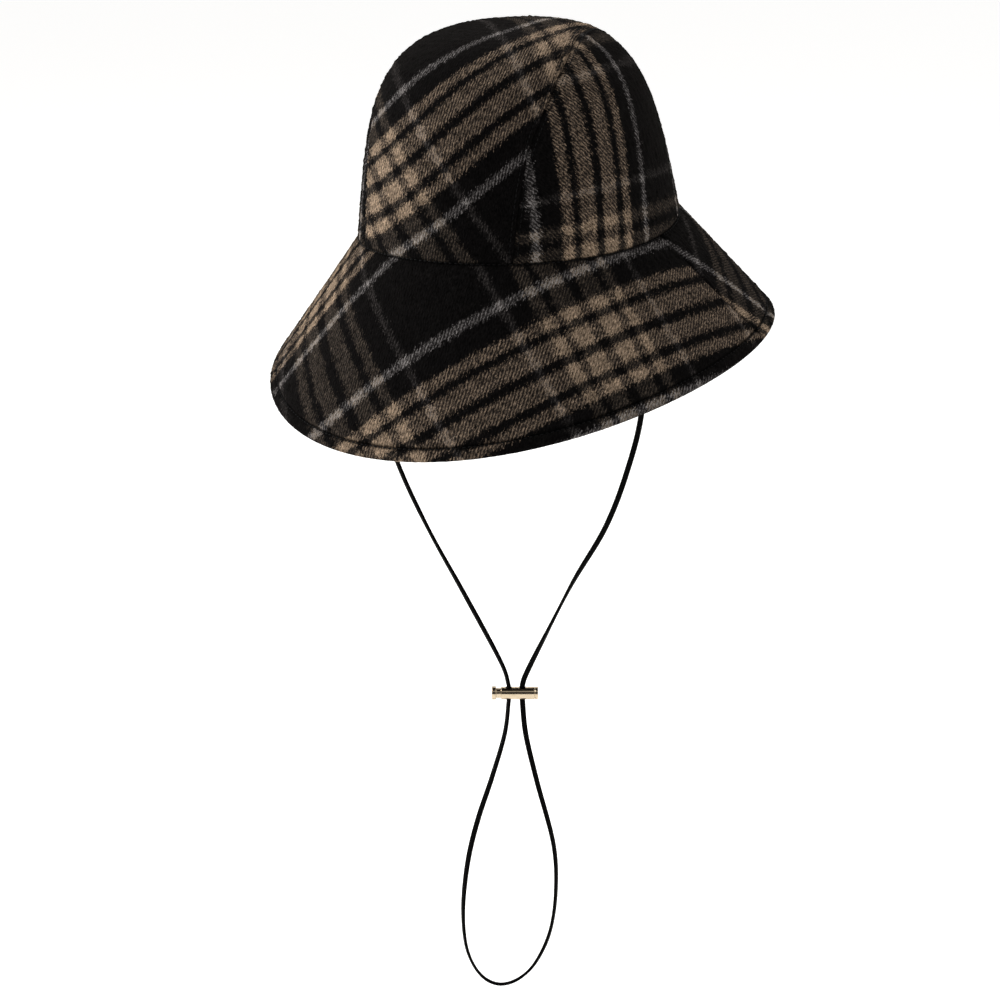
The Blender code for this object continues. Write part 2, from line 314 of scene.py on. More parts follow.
# %% Cord route
CORD_WIDTH = 3.2 * mm
CORD_THICKNESS = 1.8 * mm
CORD_ROUTE = (
    # x, y, z in metres, from the wearer's right ear through the lock and back up to the left ear
    (-0.0786, 0.0000, 0.0080), (-0.0803, -0.0003, -0.0150),
    (-0.0845, -0.0010, -0.0500), (-0.0876, -0.0018, -0.0850),
    (-0.0878, -0.0025, -0.1150), (-0.0845, -0.0030, -0.1400),
    (-0.0765, -0.0033, -0.1590), (-0.0580, -0.0033, -0.1900),
    (-0.0358, -0.0033, -0.2220), (-0.0112, -0.0033, -0.2587),
    (-0.0056, -0.0033, -0.2720), (-0.0053, -0.0033, -0.2778),
    (-0.0054, -0.0033, -0.2840), (-0.0074, -0.0045, -0.3035),
    (-0.0140, -0.0085, -0.3310), (-0.0205, -0.0125, -0.3550),
    (-0.0255, -0.0155, -0.3800), (-0.0281, -0.0171, -0.4080),
    (-0.0273, -0.0166, -0.4310), (-0.0235, -0.0143, -0.4460),
    (-0.0170, -0.0104, -0.4560), (-0.0085, -0.0052, -0.4594),
    (0.0010, 0.0006, -0.4550), (0.0092, 0.0056, -0.4440),
    (0.0158, 0.0097, -0.4250), (0.0185, 0.0113, -0.4000),
    (0.0172, 0.0105, -0.3710), (0.0088, 0.0054, -0.3320),
    (0.0033, 0.0020, -0.3035), (0.0016, 0.0010, -0.2840),
    (0.0015, 0.0009, -0.2778), (0.0017, 0.0010, -0.2720),
    (0.0050, 0.0010, -0.2635), (0.0170, 0.0010, -0.2400),
    (0.0354, 0.0010, -0.2050), (0.0562, 0.0010, -0.1700),
    (0.0700, 0.0010, -0.1350), (0.0790, 0.0009, -0.0990),
    (0.0816, 0.0006, -0.0500), (0.0786, 0.0000, 0.0080),
)
LACE_TURN = (
    # share of the length, degrees from facing the camera
    (0.000, 50), (0.170, 50), (0.205, 62), (0.260, 40), (0.300, 60), (0.335, 60),
    (0.400, 32), (0.455, 70), (0.500, 80), (0.540, 64), (0.565, 68), (0.670, 34),
    (0.710, 19), (0.760, 74), (0.820, 19), (1.000, 22),
)


def smooth_curve(points, steps):
    """A Catmull-Rom curve: each span is a cubic through its two points, aimed along their neighbours."""
    p = np.asarray(points, float)
    p = np.vstack([2 * p[0] - p[1], p, 2 * p[-1] - p[-2]])
    t = np.linspace(0, 1, steps, endpoint=False)[None, :, None]
    a, b, c, d = (p[i:len(p) - 3 + i, None] for i in range(4))
    spans = 0.5 * (2 * b + (c - a) * t + (2 * a - 5 * b + 4 * c - d) * t ** 2
                   + (3 * b - a - 3 * c + d) * t ** 3)
    return np.vstack([spans.reshape(-1, p.shape[1]), p[-2:-1]])


centre_line = smooth_curve(CORD_ROUTE, 10)
walked = along(centre_line, 0)

# %% Cord as a profile carried along the route


def lace(path, profile, turn_table, facing):
    """Points of the lace: profile across and through it, turned about the path by the table's angles.

    point = path + across * (side cos a + out sin a) + through * (out cos a - side sin a)
    """
    ahead = unit(np.gradient(path, axis=0))
    out = unit(facing - np.sum(facing * ahead, axis=1, keepdims=True) * ahead)
    side = np.cross(out, ahead)
    shares = along(path, 0) / along(path, 0)[-1]
    table = smooth_curve(turn_table, 8)
    angle = np.radians(np.interp(shares, table[:, 0], table[:, 1]))[:, None]
    broad = side * np.cos(angle) + out * np.sin(angle)
    thin = out * np.cos(angle) - side * np.sin(angle)
    across, through = profile
    return path[:, None] + across[None, :, None] * broad[:, None] + through[None, :, None] * thin[:, None]


around = np.linspace(0, tau, 16, endpoint=False)
squareness = 0.55                   # the power that fills an oval out towards its corners
across = CORD_WIDTH / 2 * np.sign(np.cos(around)) * np.abs(np.cos(around)) ** squareness
through = CORD_THICKNESS / 2 * np.sign(np.sin(around)) * np.abs(np.sin(around)) ** squareness
loop_facing = np.array([cos(radians(58.5)), -sin(radians(58.5)), 0.0])
lace_points = lace(centre_line, (across, through), LACE_TURN, loop_facing)
rows, columns = lace_points.shape[:2]
index = np.arange(rows * columns).reshape(rows, columns)
sides = quads(index.T, wrap=True)
half = columns // 2
ends = [quads(np.stack([row[:half], row[:half - 1:-1]])) for row in (index[0], index[-1])]
chin_cord = make_piece("chin_cord_lace", lace_points, np.vstack([sides, *ends]), leather)
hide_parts("chin_cord")

# %% [markdown]
# ## Pale gold for the lock
#
# The lock is turned brass with a thin, pale gold plating. It is polished, so what the eye reads is
# the light and dark of the room mirrored in long streaks. Faint turning marks run round it, and
# they break the mirror a little.

# %% Gold plate
gold, tree, shader = new_material("polished pale gold plate")
place = add(tree, "TexCoord").outputs["Object"]
marks = add(tree, "TexNoise", Vector=place, Scale=1 / (1.5 * mm), Detail=4.0)
shine = spread(tree, marks, 0.3, 0.7, 0.1, 0.22)
tint = add(tree, "MixRGB", Fac=marks, Color1=linear("#C6B7A1"), Color2=linear("#B7A589"))
relief = add(tree, "Bump", Height=marks, Distance=0.02 * mm, Strength=0.4)
connect(tree, shader, Base_Color=tint, Roughness=shine, Normal=relief, Metallic=1.0)

# %% [markdown]
# ## The cord lock
#
# A push-button lock is a short barrel with a plunger in it. A spring inside pushes the plunger
# out, so the holes across both don't quite line up and pinch the cord. Both are turned parts: a
# profile of place and radius, spun about their common axis. The crossing holes are cut with a
# Boolean, which is applied so that the finished mesh has them.

# %% Turned parts with cross holes
LOCK_PLACE = (-0.0019, -0.0012, -0.2778)
LOCK_TURN = 31.5                    # degrees from X to its length, seen from above
STRAND_PITCH = 8.0 * mm
HOLE_WIDTH = 4.0 * mm
BARREL = dict(start=-8.4 * mm, end=13.1 * mm, radius=3.75 * mm, bore=3.25 * mm, base=1.2 * mm)
BUTTON = dict(start=-13.8 * mm, end=-11.3 * mm, radius=4.0 * mm, shaft=2.95 * mm, tip=7.4 * mm)
PLUNGER_SLOT = (-3.9 * mm, 1.9 * mm)   # from the strand's middle, so that the button can travel 2 mm
PLUNGER_SLOT_WIDTH = 3.8 * mm
LOCK_SIDES = 64
SHARP_TURN = 50                     # degrees, from which an edge of the lock counts as sharp and is broken
BROKEN_EDGE = 0.12 * mm


def lock_to_hat(points):
    """Turn points about Z by the lock's angle and carry them to its place."""
    a = radians(LOCK_TURN)
    rotation = np.array([[cos(a), -sin(a), 0], [sin(a), cos(a), 0], [0, 0, 1]])
    return points @ rotation.T + np.array(LOCK_PLACE)


def rounded(corners, radius, steps=5):
    """A profile of (place, radius) corners, each replaced by a small curve that starts this far away."""
    p = np.asarray(corners, float)
    before, after = p[:-2] - p[1:-1], p[2:] - p[1:-1]
    room = np.minimum(np.linalg.norm(before, axis=1), np.linalg.norm(after, axis=1))
    before, after = unit(before), unit(after)
    cut = np.minimum(radius, room * 0.45)[:, None]
    t = np.linspace(0, 1, steps)[None, :, None]
    start, middle, end = (x[:, None] for x in (p[1:-1] + before * cut, p[1:-1], p[1:-1] + after * cut))
    curves = (1 - t) ** 2 * start + 2 * t * (1 - t) * middle + t ** 2 * end
    return np.vstack([p[:1], curves.reshape(-1, 2), p[-1:]])


def turned(name, corners, rounding, body, sides=LOCK_SIDES):
    """Spin a profile about X: point = (place, radius cos a, radius sin a). Its ends lie on the axis."""
    profile = rounded(corners, rounding)
    a = np.linspace(0, tau, sides, endpoint=False)[:, None]
    spun = np.stack([profile[:, 0] + 0 * a, profile[:, 1] * np.cos(a), profile[:, 1] * np.sin(a)], axis=-1)
    index = np.arange(spun[..., 0].size).reshape(spun.shape[:2])
    return make_piece(name, lock_to_hat(spun), quads(index, wrap=True), gold, body=body, sharp=SHARP_TURN)


def cross_hole(start, end, width):
    """An upright prism with round ends, from start to end along X, as a cutter."""
    radius = width / 2
    a = np.linspace(-pi / 2, pi / 2, 17)
    right = np.stack([end - radius + radius * np.cos(a), radius * np.sin(a)], axis=1)
    left = np.stack([start + radius - radius * np.cos(a), -radius * np.sin(a)], axis=1)
    outline = np.vstack([right, left])
    tall = np.stack([np.column_stack([outline, np.full(len(outline), z)]) for z in (-0.01, 0.01)])
    index = np.arange(2 * len(outline)).reshape(2, -1)
    mesh = bpy.data.meshes.new("cutter")
    side_walls = quads(index.T[:, ::-1], wrap=True)
    faces = [*side_walls.tolist(), index[1].tolist(), index[0, ::-1].tolist()]
    mesh.from_pydata(lock_to_hat(tall.reshape(-1, 3)), [], faces)
    return put_in_scene("cutter", mesh)


def pierce(thing, cutters):
    """Cut each hole and keep the result as the thing's own mesh."""
    for cutter in cutters:
        boolean = thing.modifiers.new("hole", "BOOLEAN")
        boolean.object = cutter
        boolean.operation = "DIFFERENCE"
        boolean.solver = "EXACT"
    bevel = thing.modifiers.new("broken edge", "BEVEL")
    bevel.width = BROKEN_EDGE
    bevel.segments = 2
    bevel.limit_method = "ANGLE"
    bevel.angle_limit = radians(SHARP_TURN)
    depsgraph = bpy.context.evaluated_depsgraph_get()
    made = bpy.data.meshes.new_from_object(thing.evaluated_get(depsgraph), depsgraph=depsgraph)
    thing.modifiers.clear()
    thing.data = made
    made.shade_smooth()
    made.set_sharp_from_angle(angle=radians(SHARP_TURN))
    for cutter in cutters:
        bpy.data.objects.remove(cutter)
    print(f"{thing.name}: {len(made.polygons)} faces after piercing")


strands = (-STRAND_PITCH / 2, STRAND_PITCH / 2)
start, end, radius, bore, base = BARREL.values()
band = end - 2.2 * mm               # where a fine groove round the closed end begins
barrel = turned("lock_barrel", (
    (end - base, 0), (end - base, bore), (start, bore), (start, radius),
    (band, radius), (band + 0.2 * mm, radius - 0.25 * mm),
    (band + 0.45 * mm, radius - 0.25 * mm), (band + 0.65 * mm, radius),
    (end, radius), (end, 0),
), 0.3 * mm, "hat")
pierce(barrel, [cross_hole(s - HOLE_WIDTH / 2, s + HOLE_WIDTH / 2, HOLE_WIDTH) for s in strands])
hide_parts("cord_lock_barrel")

start, end, radius, shaft, tip = BUTTON.values()
plunger = turned("lock_plunger", (
    (start, 0), (start, radius), (end, radius), (end, shaft), (tip, shaft), (tip, 0),
), 0.4 * mm, "lock_button")
pierce(plunger, [cross_hole(s + PLUNGER_SLOT[0], s + PLUNGER_SLOT[1], PLUNGER_SLOT_WIDTH) for s in strands])
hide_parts("cord_lock_plunger")

# %% [markdown]
# ## The crown's form
#
# A bucket hat's crown narrows a little on its way up and turns over a round shoulder into a
# nearly flat top. That is one formula: at a share t of the height, the radius share is
# (1 - taper t) (1 - t^p)^(1/q). The plan is an oval as wide and long as a head with the cloth on it.

# %% Crown surface
HEAD_WIDTH = 164 * mm
HEAD_LENGTH = 204 * mm
CROWN_HEIGHT = 111 * mm
CLOTH = 2.5 * mm
OPENING_RISE = (1.4 * mm, -2.5 * mm, 3.6 * mm)      # height of its lower edge: front, sides, back
TAPER, TOP_ROUNDING, SIDE_ROUNDING = 0.18, 4.06, 3.67
LEAN = np.array([-1.7 * mm, -4.4 * mm])
TILT = 3.5                                          # degrees, front down
HALF = np.array([HEAD_WIDTH / 2 + CLOTH, HEAD_LENGTH / 2 + CLOTH])

heights = np.sin(np.linspace(0, pi / 2, 4000)) ** (2 / TOP_ROUNDING)
radii = (1 - TAPER * heights) * (1 - heights ** TOP_ROUNDING) ** (1 / SIDE_ROUNDING)


def round_hat(values, angle):
    """Front, side and back values blended round the hat with two cosines; angle 0 is the front."""
    front, side, back = values
    mean = (front + 2 * side + back) / 4
    return mean + (front - back) / 2 * np.cos(angle) + (front - 2 * side + back) / 4 * np.cos(2 * angle)


def height_share(radius):
    """The share of the crown's height at which its radius share is this."""
    return np.interp(radius, radii[::-1], heights[::-1])


def crown(x, y):
    """Points and outward normals of the crown over plan shares x and y, where the rim is x^2 + y^2 = 1.

    The height share t is the one whose radius share is the root of x^2 + y^2. The normal follows
    from the slope of that radius.
    """
    radius = np.sqrt(x ** 2 + y ** 2)
    t = height_share(radius)
    rise = round_hat(OPENING_RISE, np.arctan2(x, -y)) * (1 - t) ** 2
    z = t * CROWN_HEIGHT + rise
    point = np.stack([x * HALF[0] + LEAN[0] * z / CROWN_HEIGHT,
                      y * HALF[1] + LEAN[1] * z / CROWN_HEIGHT, z], -1)
    t = np.clip(t, 1e-6, 1 - 1e-6)
    shoulder = 1 - t ** TOP_ROUNDING
    bend = TOP_ROUNDING / SIDE_ROUNDING * t ** (TOP_ROUNDING - 1) * shoulder ** (1 / SIDE_ROUNDING - 1)
    slope = -TAPER * shoulder ** (1 / SIDE_ROUNDING) - (1 - TAPER * t) * bend
    safe = np.maximum(radius, 1e-6)
    across = np.stack([x / safe / HALF[0], y / safe / HALF[1]], -1)
    up = -slope / CROWN_HEIGHT - across @ LEAN / CROWN_HEIGHT
    return point, unit(np.concatenate([across, up[..., None]], -1))


def tilted(points):
    """The hat stands with its front a little low: turn about X by the tilt."""
    a = radians(TILT)
    return points @ np.array([[1, 0, 0], [0, cos(a), -sin(a)], [0, sin(a), cos(a)]]).T


print("crown outside", np.round(2 * HALF / mm, 1), "mm, height", round(CROWN_HEIGHT / mm, 1), "mm")

# %% [markdown]
# ## Cutting the crown into panels
#
# The centre strip is wide over the forehead and narrow at the back of the head. Its width, as a
# share of the crown's, follows a short table. A side panel fills what is left, from the seam down
# to the brim, and closes to a point at the front and the back.

# %% Panel grids
CENTRE_WIDTH = (
    # station from the front edge (-1) over the top (0) to the back edge (1), share of the half width
    (-1.0, 0.565), (-0.6, 0.635), (-0.2, 0.580), (0.2, 0.435), (0.6, 0.310), (1.0, 0.260),
)
MEAN_LENGTH = 0.91                  # of the narrowing crown, as a share of its length at the foot
MEAN_RADIUS = 95 * mm
width_table = smooth_curve(CENTRE_WIDTH, 16)


def even_stations(count):
    """Stations from front to back, evenly spaced as a tape over the crown would space them."""
    station = np.sin(np.linspace(-pi / 2, pi / 2, 4001))
    tape = np.stack([station * HALF[1] * MEAN_LENGTH, height_share(np.abs(station)) * CROWN_HEIGHT], 1)
    walked = along(tape, 0)
    return np.interp(np.linspace(0, walked[-1], count), walked, station)


def centre_plan(rows, columns):
    """Plan shares of the centre strip: x = column * width(station), y = station * root(1 - x^2)."""
    station = even_stations(rows)[:, None]
    x = columns[None] * np.interp(station, *width_table.T)
    return x, station * np.sqrt(1 - x ** 2)


def side_plan(rows, columns, side):
    """Plan shares of a side panel: columns go from the seam, 0, down the crown to the brim, 1."""
    station = even_stations(rows)
    width = np.interp(station, *width_table.T)
    seam_x, seam_y = width, station * np.sqrt(1 - width ** 2)
    seam_angle = np.arctan2(seam_x, -seam_y)
    foot_angle = np.linspace(seam_angle[0], seam_angle[-1], rows)
    share = 1 - np.linspace(0, 1, 2001) ** 2
    tape = along(np.stack([share * MEAN_RADIUS, height_share(share) * CROWN_HEIGHT], 1), 0)
    up = np.interp(-np.hypot(seam_x, seam_y), -share, tape)[:, None] * (1 - columns[None])
    radius = np.interp(up, tape, share)
    angle = seam_angle[:, None] * (1 - columns[None]) + foot_angle[:, None] * columns[None]
    return side * radius * np.sin(angle), -radius * np.cos(angle)


# %% [markdown]
# ## Flat patterns
#
# Woven stripes are straight on the bolt and only bend because the panel does. To put the plaid on
# a curved panel it has to be flattened first, as a tailor would press it out. Each panel's grid is
# treated as a net of springs whose lengths are those on the hat. It is laid on the table and let
# go, and it settles into the flat shape with the least stretch. All the springs move at once, as
# whole arrays.

# %% Pressing a panel flat


def press_flat(points, start, rounds=3000, shortest=0.3, boldness=1.6):
    """Relax a net of springs: each pull is half its stretch, weighted by one over its length.

    A spring under the shortest length, in millimetres, weighs no more than one of that length.
    Each point goes further than its pulls ask, by the boldness, so that the net settles sooner.
    """
    here, there, every = slice(None, -1), slice(1, None), slice(None)
    springs = (((here, every), (there, every)), ((every, here), (every, there)),
               ((here, here), (there, there)), ((here, there), (there, here)))
    lengths = [np.linalg.norm(points[a] - points[b], axis=-1) for a, b in springs]
    flat = start.copy()
    for _ in range(rounds):
        pull = np.zeros_like(flat)
        weight = np.zeros(flat.shape[:2])
        for (a, b), length in zip(springs, lengths):
            gap = flat[b] - flat[a]
            reach = np.linalg.norm(gap, axis=-1)
            stiff = 1 / np.maximum(length, shortest)
            move = (0.5 * (reach - length) / np.maximum(reach, 1e-9) * stiff)[..., None] * gap
            pull[a] += move
            pull[b] -= move
            weight[a] += stiff
            weight[b] += stiff
        flat += boldness * pull / np.maximum(weight, 1e-9)[..., None]
    return flat


def from_middle(net):
    """Distance walked along a net's middle column, counted from its middle point, for every column."""
    walked = along(net[:, net.shape[1] // 2], 0)
    return (walked - walked[len(net) // 2])[:, None] + 0 * net[..., 0]


NET = (81, 33)                      # points of the spring net, along and across a panel
POINT_ROWS = 4                      # rows at a side panel's points, continued straight
net = crown(*centre_plan(NET[0], np.linspace(-1, 1, NET[1])))[0] / mm
centre_flat = press_flat(net, np.stack([net[..., 0], from_middle(net)], -1))

net = crown(*side_plan(NET[0], np.linspace(0, 1, NET[1]), 1))[0][POINT_ROWS:-POINT_ROWS] / mm
across = along(net, 1)
side_flat = press_flat(net, np.stack([from_middle(net), across[:, -1:] - across], -1))
ahead = np.arange(POINT_ROWS, 0, -1)[:, None, None]
side_flat = np.concatenate([
    side_flat[:1] + (side_flat[:1] - side_flat[2:3]) / 2 * ahead,
    side_flat,
    side_flat[-1:] + (side_flat[-1:] - side_flat[-3:-2]) / 2 * ahead[::-1],
])
print("centre strip, flat:", np.round(np.ptp(centre_flat.reshape(-1, 2), axis=0)), "mm")
print("side panel, flat:", np.round(np.ptp(side_flat.reshape(-1, 2), axis=0)), "mm")


def on_net(flat, rows, columns):
    """A finer grid's places on the flat net; rows and columns run from 0 to 1 over it."""
    count, width = flat.shape[:2]
    along_rows = looked_up(rows, np.linspace(0, 1, count), flat.reshape(count, -1)).reshape(-1, width, 2)
    place = columns * (width - 1)
    low = np.clip(place.astype(int), 0, width - 2)
    part = (place - low)[None, :, None]
    return along_rows[:, low] * (1 - part) + along_rows[:, low + 1] * part


# %% [markdown]
# ## The plaid
#
# The cloth is a sett: a list of coloured stripes that repeats in both directions. The warp shows
# more strongly than the weft, and where stripes of the same colour cross, the cloth is solid. On
# each panel the cutter laid the sett at another angle, found here from the stripes in the
# photograph: on the bias on the front of the brim, upright on the sides of the crown, and turning
# across the centre strip.

# %% Stripes and how they lie on each panel
WARP_SETT = (
    # yarn, width in millimetres, from the middle of a grey stripe
    ("grey", 2.25), ("black", 14.8), ("beige", 6.6), ("black", 5.2), ("beige", 11.2), ("black", 6.0),
    ("beige", 11.2), ("black", 5.2), ("beige", 6.6), ("black", 12.8), ("grey", 4.5), ("black", 53.8),
    ("grey", 2.25),
)
WEFT_SETT = (
    ("grey", 1.8), ("black", 13.05), ("beige", 6.3), ("black", 5.4), ("beige", 10.8), ("black", 7.7),
    ("beige", 10.8), ("black", 5.4), ("beige", 6.3), ("black", 13.15), ("grey", 3.6), ("black", 56.25),
    ("grey", 1.8),
)
REPEAT = sum(width for _, width in WARP_SETT)
print("sett repeats every", round(REPEAT, 1), "mm, weft", round(sum(w for _, w in WEFT_SETT), 1), "mm")


def turn_axes(flat, degrees, origin):
    """Distances along and across a stripe that rises at an angle through an origin, in millimetres."""
    a = radians(degrees)
    x, y = flat[..., 0] - origin[0], flat[..., 1] - origin[1]
    return x * cos(a) + y * sin(a), x * sin(a) - y * cos(a)


def smooth_step(low, high, value):
    """0 below low, 1 above high, and an S-shaped rise between."""
    t = np.clip((value - low) / (high - low), 0, 1)
    return t * t * (3 - 2 * t)


SWING_MIDDLE = (-75, -5)            # millimetres on the centre strip's flat pattern
SWING_RADIUS = 81                   # of the arc that the grey stripe follows, in millimetres
SWING_STRETCH = 0.95


def centre_sett(flat):
    """Over the forehead the warp swings round a point beyond the right seam, then runs straight back."""
    x, y = flat[..., 0], flat[..., 1]
    swing = np.hypot(x - SWING_MIDDLE[0], np.minimum(y - SWING_MIDDLE[1], 0))
    warp = (swing - SWING_RADIUS) / SWING_STRETCH + 0.014 * x + 0.024 * np.minimum(y, 0)
    # the stripes open by up to 8 mm towards the right of the forehead
    warp = warp - 8 * (1 - smooth_step(-30, 55, x)) * smooth_step(15, 60, -y)
    bias = 0.716 * x + 0.644 * y + 10
    squared = y + 11
    back = smooth_step(0, 70, y)
    return np.stack([warp, bias * (1 - back) + squared * back], -1)


def side_sett(flat):
    """The warp stands on the sides, leaning forward a little, and the weft drops towards the front seam."""
    x, y = flat[..., 0] + 60, flat[..., 1] - 40
    return np.stack([30.4 + 0.993 * x - 0.25 * y, 85.9 + 0.116 * x + 0.984 * y], -1)


def front_brim_sett(flat):
    """The front of the brim is cut on the bias, with its warp rising to the wearer's left."""
    weft, warp = turn_axes(flat, 42.5, (0, 0))
    return np.stack([warp - 46, weft - 25 - 0.02 * flat[..., 0]], -1)


def back_brim_sett(flat):
    """The back of the brim is another cut, with its warp almost along the side seam."""
    weft, warp = turn_axes(flat, 4, (146, 67.6))
    return np.stack([warp, weft - 20], -1)


# %% [markdown]
# ## Brushed wool
#
# The cloth is a 2/2 twill: each yarn passes over two and under two, one step along in each row,
# which draws fine diagonals. Then it is brushed, so short fibres blur the diagonals and stand out
# from the surface. The material reads the pattern's own coordinates, finds the warp's and the
# weft's colour from two ramps made of the sett, and lets the twill lean towards one or the other.
#
# Brushed fibres lie over each other, so a few black ones darken beige cloth far more than paint
# of the two colours mixed half and half. A plain mix comes out too light. Here the two colours are
# mixed as their eighth roots and raised again afterwards, which multiplies more than it adds.
# Noise stretched along the diagonals frays the edges of the stripes, as the nap does.

# %% Wool material
WARP_YARN = {"black": "#0A0909", "beige": "#9A846E", "grey": "#827E7C"}
WEFT_YARN = {"black": "#080707", "beige": "#554A3F", "grey": "#403C3A"}
THREAD = 0.6                        # millimetres from one yarn to the next
FRAY = 5.5                          # millimetres that the nap carries a colour over an edge
FIBRE = (0.8, 2.8)                  # millimetres across and along the streaks of the brushed nap
WARP_SHARE = (0.24, 0.82)           # of the mixed colour, where the weft and where the warp is on top
TWILL_WANDER = 3.6                  # millimetres that the brushing pulls the diagonals about
TWILL_STRENGTH = 0.8                # of the diagonals in the mix of warp and weft
HAIR_STRENGTH = 5.0                 # of the stray fibres in it
WORN_PATCH = 7.0                    # millimetres
ROOT = 8.0


def root_colour(hex_colour):
    """A colour's channels as their eighth roots, ready for mixing."""
    return (*[channel ** (1 / ROOT) for channel in linear(hex_colour)[:3]], 1)


def sett_ramp(tree, distance, sett, yarns):
    """A stripe colour for each distance: the sett as hard steps on a ramp that repeats."""
    share = calculate(tree, "DIVIDE", distance, REPEAT)
    node = add(tree, "ValToRGB", Fac=calculate(tree, "FRACT", share))
    ramp = node.color_ramp
    ramp.interpolation = "CONSTANT"
    ramp.elements.remove(ramp.elements[-1])
    edge = 0
    for number, (yarn, width) in enumerate(sett):
        stop = ramp.elements[0] if number == 0 else ramp.elements.new(edge / REPEAT)
        stop.color = root_colour(yarns[yarn])
        edge += width
    return node


def nudge(tree, noise, reach):
    """A push that a noise's colour gives, to either side by half of this reach at the most."""
    centred = calculate(tree, "SUBTRACT", noise.outputs["Color"], (0.5, 0.5, 0.5), kind="VectorMath")
    return add(tree, "VectorMath", {"operation": "SCALE"}, i0=centred, Scale=reach)


wool, tree, shader = new_material("brushed wool twill")
pattern = add(tree, "UVMap", {"uv_map": "pattern"})
diagonal = add(tree, "Mapping", Vector=pattern, Rotation=(0, 0, radians(-45)))
streaks = add(tree, "Mapping", Vector=diagonal, Scale=(1 / FIBRE[0], 1 / FIBRE[1], 1))
fray = add(tree, "TexNoise", Vector=streaks, Scale=0.9, Detail=2.0, Roughness=0.6)
fuzz = add(tree, "TexNoise", Vector=diagonal, Scale=1 / 0.5, Detail=1.0)
pushed = calculate(tree, "ADD", nudge(tree, fray, 2 * FRAY), nudge(tree, fuzz, 0.9 * FRAY), kind="VectorMath")
frayed = calculate(tree, "ADD", pattern, pushed, kind="VectorMath")
split = add(tree, "SeparateXYZ", Vector=frayed)
warp_colour = sett_ramp(tree, split.outputs["X"], WARP_SETT, WARP_YARN)
weft_colour = sett_ramp(tree, split.outputs["Y"], WEFT_SETT, WEFT_YARN)

straight = add(tree, "SeparateXYZ", Vector=pattern)
climb = calculate(tree, "ADD", straight.outputs["X"], straight.outputs["Y"])
wander = add(tree, "TexNoise", Vector=pattern, Scale=1 / 1.3, Detail=2.0)
wobble = calculate(tree, "MULTIPLY_ADD", wander, TWILL_WANDER, climb)
phase = calculate(tree, "MULTIPLY", wobble, tau / (4 * THREAD))
wave = calculate(tree, "SINE", phase)
hairs = add(tree, "TexNoise", Vector=streaks, Scale=1.0, Detail=3.0, Roughness=0.65)
stray = calculate(tree, "MULTIPLY_ADD", hairs, HAIR_STRENGTH, -HAIR_STRENGTH / 2)
mottled = calculate(tree, "MULTIPLY_ADD", wave, TWILL_STRENGTH, stray)
on_top = spread(tree, mottled, -0.9, 0.9, *WARP_SHARE)
mixed = add(tree, "MixRGB", Fac=on_top, Color1=weft_colour, Color2=warp_colour)
raised = add(tree, "Gamma", Color=mixed, Gamma=ROOT)

lights = add(tree, "TexNoise", Vector=streaks, Scale=1.3, Detail=3.0, Roughness=0.7)
lit = spread(tree, lights, 0.34, 0.68, 0.1, 1.9)
patches = add(tree, "TexNoise", Vector=pattern, Scale=1 / WORN_PATCH, Detail=2.0)
worn = spread(tree, patches, 0.3, 0.7, 0.75, 1.2)
# Painted shade: the colour darkens to 0.12 of itself where the outside lies deep in a seam dip, stitched
# groove or pucker.
crease_shade = add(tree, "Attribute", {"attribute_name": "crease_shade"})
painted_crease_shade = spread(tree, crease_shade.outputs["Fac"], 0, 1, 1.0, 0.12)
shade = calculate(tree, "MULTIPLY", calculate(tree, "MULTIPLY", lit, worn), painted_crease_shade)
shaded = add(tree, "VectorMath", {"operation": "SCALE"}, i0=raised, Scale=shade)
relief = calculate(tree, "MULTIPLY_ADD", wave, 0.25, hairs)
bump = add(tree, "Bump", Height=relief, Distance=0.4 * mm, Strength=0.8)
connect(tree, shader, Base_Color=shaded, Normal=bump, Roughness=0.95, IOR=1.45, Specular_IOR_Level=0.02,
        Sheen_Weight=0.012, Sheen_Roughness=0.5, Sheen_Tint=linear("#C8B8A4"))
print("twill diagonals every", round(4 * THREAD / 2 ** 0.5, 2), "mm")

# %% [markdown]
# ## Seams
#
# Where two panels meet, their edges are turned in, so the outside dips into a narrow valley. The
# turned edges are pressed open and stitched down on both sides, 2.7 mm from the seam: the thread
# pulls the cloth into a shallow groove, and the double cloth beyond stands a little higher.

# %% Relief near a seam
STITCH_INSET = 2.7 * mm
SEAM_DIP = 1.0 * mm
SEAM_RADIUS = 1.2 * mm
GROOVE_DEPTH = 0.45 * mm
GROOVE_WIDTH = 0.8 * mm
DOUBLE_CLOTH = 0.35 * mm
TURNED_EDGE = 8 * mm
INSIDE_EDGE = 0.9 * mm
FOLD_DIP = 0.9 * mm                 # where the crown meets the brim
PUCKER_DEPTH = 1.3 * mm
PUCKER_WAVES = (9 * mm, 21 * mm)
PUCKER_REACH = 6.5 * mm
PUCKER_SLANT = 2.0                  # along the seam for each step away from it
NAP_HEIGHT = 0.17 * mm
NAP_WAVES = 30
NAP_LENGTHS = (2.2, 7)              # millimetres, of the shortest and the longest wave
NAP_CALM = 2.5 * mm                 # from an edge, over which the waves rise from nothing
CREASE_SHADE_DEPTH = 1.1 * mm


def nap_height(place):
    """Unevenness of the brushed cloth: small waves of random lengths, in random directions."""
    draw = np.random.default_rng(11)
    length = draw.uniform(*NAP_LENGTHS, NAP_WAVES)
    heading = draw.uniform(0, tau, NAP_WAVES)
    phase = draw.uniform(0, tau, NAP_WAVES)
    turns = place[..., :1] * np.cos(heading) / length + place[..., 1:] * np.sin(heading) / length
    return NAP_HEIGHT * np.sin(tau * turns + phase).sum(axis=-1) * (2 / NAP_WAVES) ** 0.5


def crease_shade_of(relief):
    """How much painted shade a crease gives each point, by its depth: from 0 on the open cloth to 1."""
    return smooth_step(0.15 * mm, CREASE_SHADE_DEPTH, -relief)


